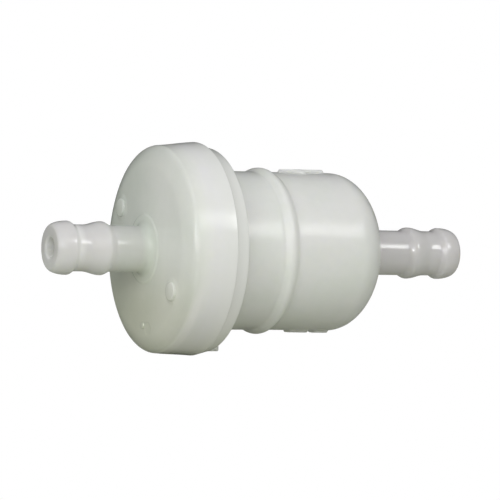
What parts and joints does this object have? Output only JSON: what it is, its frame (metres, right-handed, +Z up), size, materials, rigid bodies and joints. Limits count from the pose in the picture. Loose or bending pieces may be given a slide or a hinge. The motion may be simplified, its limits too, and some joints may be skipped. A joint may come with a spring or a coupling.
{
  "type": "in-line fuel filter",
  "caption": "Sealed in-line fuel filter: milky nylon bowl and wide round cap welded together, a barbed hose spigot at each end, pleated paper element inside.",
  "frame": {"origin": "on the flow axis, half way between the two spigot tips, which is also the centre of the bounding box", "axes": "+X along the flow axis towards the inlet spigot's tip on the domed bowl; +Z up, towards the raised flow arrow; +Y completes a right-handed frame"},
  "size_m": [0.0592, 0.0278, 0.0278],
  "materials": {
    "natural_nylon": "satin",
    "weld_nylon": "satin",
    "plate_plastic": "satin",
    "core_plastic": "satin",
    "filter_paper": "matte",
    "adhesive": "satin"
  },
  "bodies": {
    "root": {"outlet_cap": "natural_nylon", "inlet_bowl": "natural_nylon", "weld_bead": "weld_nylon", "open_end_plate": "plate_plastic", "closed_end_plate": "plate_plastic", "core_tube": "core_plastic", "pleated_media": "filter_paper", "seam_bead": "adhesive", "potting_open_end": "adhesive", "potting_closed_end": "adhesive"}
  },
  "joints": []
}
